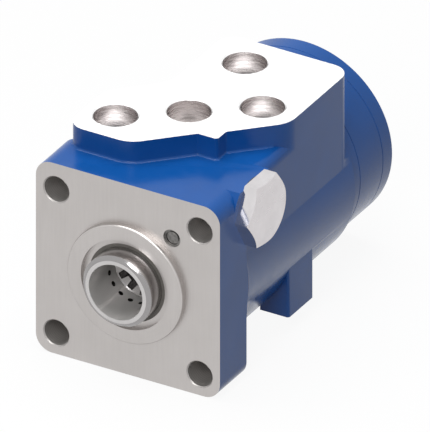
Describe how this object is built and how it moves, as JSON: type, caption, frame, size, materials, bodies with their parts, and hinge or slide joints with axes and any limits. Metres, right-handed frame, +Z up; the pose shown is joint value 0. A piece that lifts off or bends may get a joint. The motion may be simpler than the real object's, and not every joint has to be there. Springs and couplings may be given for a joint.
{
  "type": "orbital steering unit",
  "caption": "Hydraulic steering unit: square flange with a splined hollow hub, cast blue body with a raised port face on top, hexagon relief plug, round rotor stack behind.",
  "frame": {"origin": "centre of the mounting face, on the axis of the hub", "axes": "-Y out of the mounting face towards the steering column, +Z up through the port face, +X towards the hexagon plug"},
  "size_m": [0.081, 0.135, 0.0861],
  "materials": {
    "blue_paint": "satin blue paint on cast iron; the mounting face, boss, port face and bores are bare metal",
    "ground_steel": "ground steel, smooth",
    "zinc_steel": "bright zinc-plated steel, satin",
    "spring_steel": "oiled spring steel",
    "brass": "pressed brass cage",
    "black_rubber": "matt black seal rubber"
  },
  "bodies": {
    "housing_unit": {"housing": "blue_paint", "passage_plug": "zinc_steel", "relief_plug": "zinc_steel", "relief_plug_seal": "black_rubber", "relief_seat": "ground_steel", "relief_spring": "spring_steel", "ball_retainer": "ground_steel", "dust_seal": "black_rubber", "shaft_seal": "black_rubber", "front_thrust_race": "ground_steel", "spacer_plate": "blue_paint", "gerotor_ring": "blue_paint", "end_cap": "blue_paint", "cap_screws": "zinc_steel", "housing_seal": "black_rubber", "ring_front_seal": "black_rubber", "ring_rear_seal": "black_rubber"},
    "sleeve_unit": {"valve_sleeve": "ground_steel", "rear_thrust_race": "ground_steel", "cross_pin": "ground_steel", "spring_ring": "spring_steel", "centering_springs": "spring_steel"},
    "spool_unit": {"spool": "ground_steel"},
    "needle_unit": {"thrust_needles": "ground_steel", "needle_cage": "brass"},
    "spacer_unit": {"drive_spacer": "ground_steel"},
    "star_unit": {"rotor_star": "ground_steel"},
    "shaft_unit": {"drive_shaft": "ground_steel"},
    "poppet_unit": {"relief_poppet": "ground_steel"},
    "ball_unit": {"check_ball": "ground_steel"}
  },
  "joints": [
    {"name": "sleeve_spin", "type": "hinge", "parent": "housing_unit", "child": "sleeve_unit", "pos_m": [0, 0, 0], "axis": [0, 1, 0], "continuous": true},
    {"name": "spool_twist", "type": "hinge", "parent": "sleeve_unit", "child": "spool_unit", "pos_m": [0, 0, 0], "axis": [0, 1, 0], "range_deg": [-10, 10], "stiffness_Nm_per_rad": 2, "deforming": ["centering_springs"]},
    {"name": "needle_roll", "type": "hinge", "parent": "housing_unit", "child": "needle_unit", "pos_m": [0, 0, 0], "axis": [0, 1, 0], "continuous": true},
    {"name": "rotor_orbit", "type": "hinge", "parent": "housing_unit", "child": "spacer_unit", "pos_m": [0, 0, 0], "axis": [0, 1, 0], "continuous": true},
    {"name": "rotor_turn", "type": "hinge", "parent": "spacer_unit", "child": "star_unit", "pos_m": [0, 0.1109, -0.0022], "axis": [0, 1, 0], "continuous": true},
    {"name": "drive_turn", "type": "hinge", "parent": "spacer_unit", "child": "shaft_unit", "pos_m": [0, 0.0485, 0], "axis": [0, 0.9994, -0.0359], "continuous": true},
    {"name": "relief_lift", "type": "slide", "parent": "housing_unit", "child": "poppet_unit", "axis": [1, 0, 0], "range_m": [0, 0.001], "stiffness_N_per_m": 200, "springref_m": -0.01, "deforming": ["relief_spring"]},
    {"name": "check_lift", "type": "slide", "parent": "housing_unit", "child": "ball_unit", "axis": [0, 0, 1], "range_m": [0, 0.0015]}
  ],
  "couplings": [
    {"joint": "needle_roll", "follows": "sleeve_spin", "ratio": 0.5},
    {"joint": "rotor_orbit", "follows": "sleeve_spin", "ratio": -6},
    {"joint": "rotor_turn", "follows": "sleeve_spin", "ratio": 7},
    {"joint": "drive_turn", "follows": "sleeve_spin", "ratio": 7}
  ]
}
